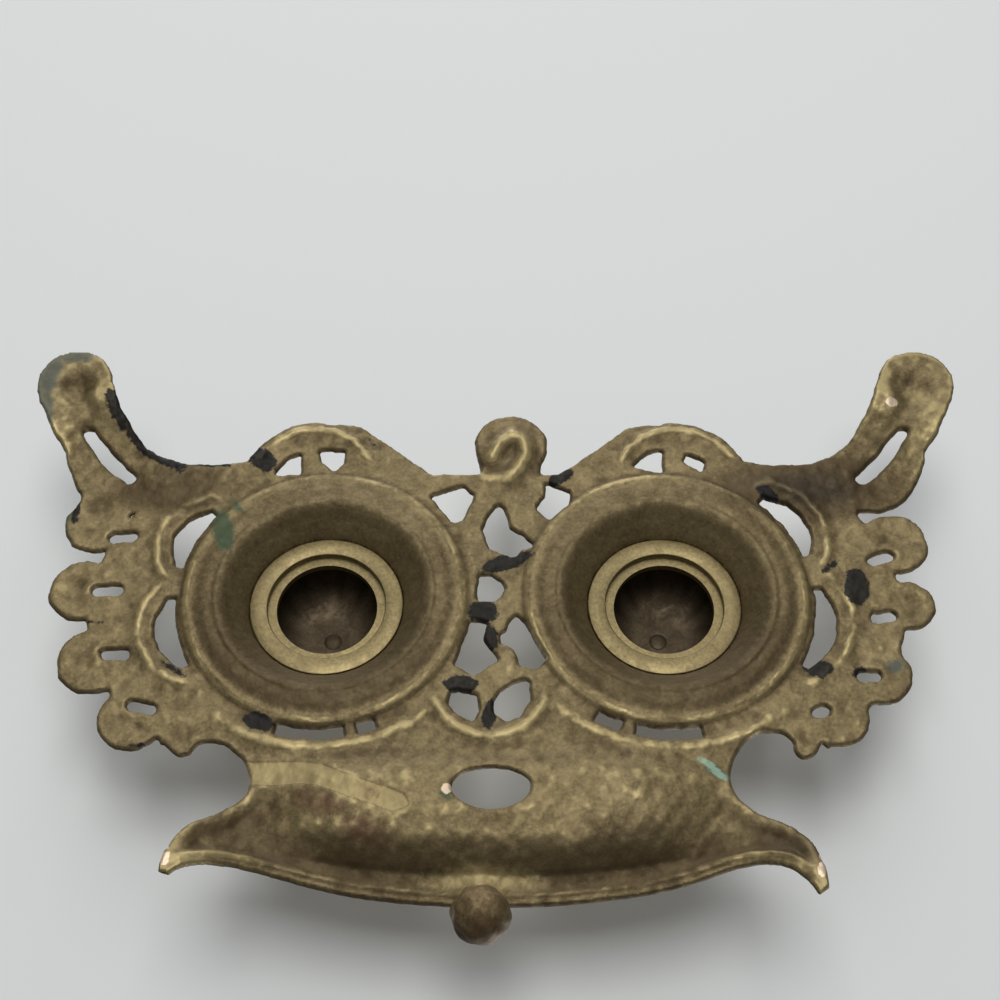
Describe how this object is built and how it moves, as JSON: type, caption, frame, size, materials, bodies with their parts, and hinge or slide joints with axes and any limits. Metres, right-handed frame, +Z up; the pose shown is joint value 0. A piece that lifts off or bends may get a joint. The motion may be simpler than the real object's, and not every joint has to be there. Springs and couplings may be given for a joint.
{
  "type": "desk inkstand",
  "caption": "Pierced cast brass desk inkstand with a pen tray in front, drip saucers round its wells and a hinged domed lid over each.",
  "frame": {"origin": "on the desk plane, below the middle of the stand's outline", "axes": "+Z up, pen tray towards -Y, wells side by side along X, left well at -X"},
  "size_m": [0.2664, 0.1742, 0.0523],
  "materials": {
    "cast_brass": "aged casting, olive brown with worn high spots",
    "turned_brass": "turned, dulled, fine concentric marks",
    "lid_brass": "aged, dark in the hollows, embossed",
    "pin_brass": "dark, tarnished"
  },
  "bodies": {
    "stand": {"base_casting": "cast_brass", "left_collar": "turned_brass", "right_collar": "turned_brass", "left_seat_ring": "turned_brass", "right_seat_ring": "turned_brass", "left_hinge_pin": "pin_brass", "right_hinge_pin": "pin_brass"},
    "left_lid_body": {"left_lid": "lid_brass", "left_lid_knob": "lid_brass"},
    "right_lid_body": {"right_lid": "lid_brass", "right_lid_knob": "lid_brass"}
  },
  "joints": [
    {"name": "left_lid_hinge", "type": "hinge", "parent": "stand", "child": "left_lid_body", "pos_m": [-0.047, 0.03815, 0.0233], "axis": [-1, 0, 0], "range_deg": [0, 100]},
    {"name": "right_lid_hinge", "type": "hinge", "parent": "stand", "child": "right_lid_body", "pos_m": [0.047, 0.03815, 0.0233], "axis": [-1, 0, 0], "range_deg": [0, 100]}
  ]
}
